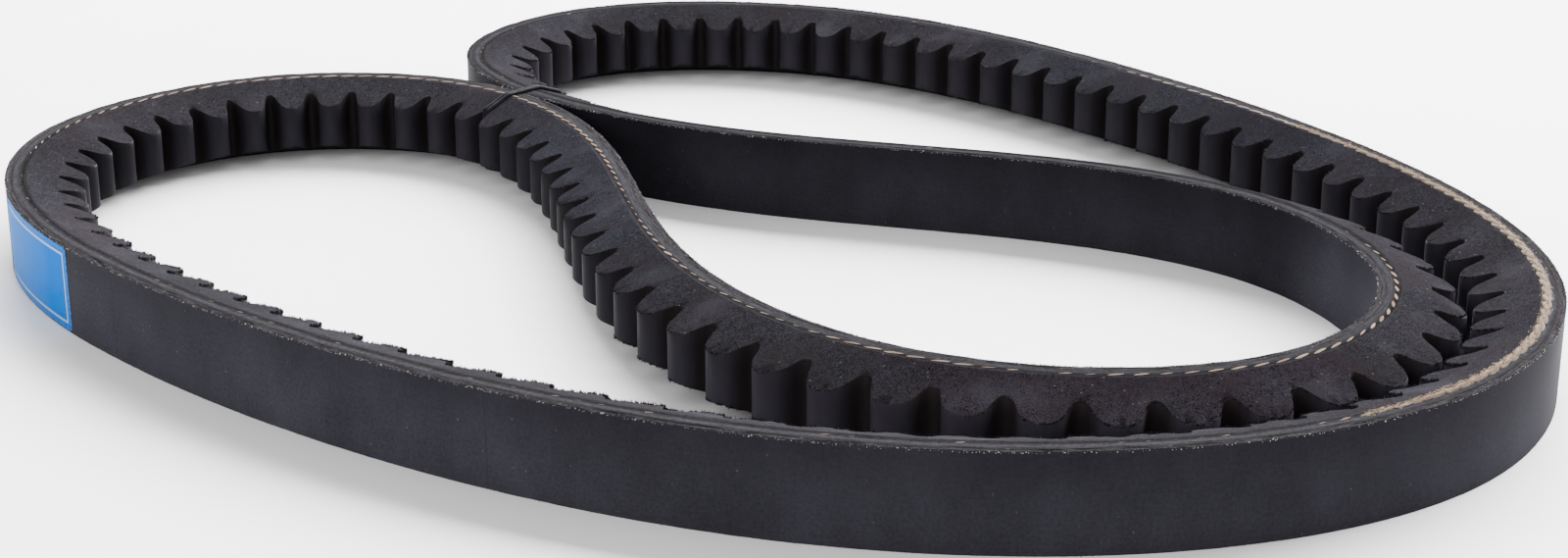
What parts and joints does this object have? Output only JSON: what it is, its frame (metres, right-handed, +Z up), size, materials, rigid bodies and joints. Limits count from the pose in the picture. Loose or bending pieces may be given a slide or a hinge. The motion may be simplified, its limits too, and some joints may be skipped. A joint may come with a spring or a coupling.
{
  "type": "v belt",
  "caption": "Closed V belt with moulded cogs, laid on its flank in three lobes and tied at the neck with thin wire.",
  "frame": {"origin": "middle of the bottom of the folded belt's bounding box, on the surface the belt lies on", "axes": "+X along the folded belt's longest extent, to the right of the picture's view; +Y away from the viewer; +Z up, along the belt's width"},
  "size_m": [0.2841, 0.2832, 0.0171],
  "materials": {
    "back_fabric": "rubber-coated woven fabric, satin, fuzzy at the cut edge",
    "inner_fabric": "rubberised woven fabric, matte",
    "tension_rubber": "smooth, satin",
    "adhesion_rubber": "matte",
    "cord": "twisted polyester cord, treated, matte",
    "compression_rubber": "fibre loaded, ground flanks matte, moulded cogs satin",
    "label_film": "thin printed film, satin",
    "tie_wire": "plastic-covered wire, satin"
  },
  "bodies": {
    "root": {"back_ply_outer": "back_fabric", "back_ply_inner": "inner_fabric", "tension_rubber": "tension_rubber", "adhesion_rubber_above": "adhesion_rubber", "tensile_cord_turn_01": "cord", "tensile_cord_turn_02": "cord", "tensile_cord_turn_03": "cord", "tensile_cord_turn_04": "cord", "tensile_cord_turn_05": "cord", "tensile_cord_turn_06": "cord", "tensile_cord_turn_07": "cord", "tensile_cord_turn_08": "cord", "tensile_cord_turn_09": "cord", "tensile_cord_turn_10": "cord", "adhesion_rubber_below": "adhesion_rubber", "compression_rubber": "compression_rubber", "back_label": "label_film", "tie_turn_upper": "tie_wire", "tie_turn_lower": "tie_wire", "tie_twist": "tie_wire"}
  },
  "joints": []
}
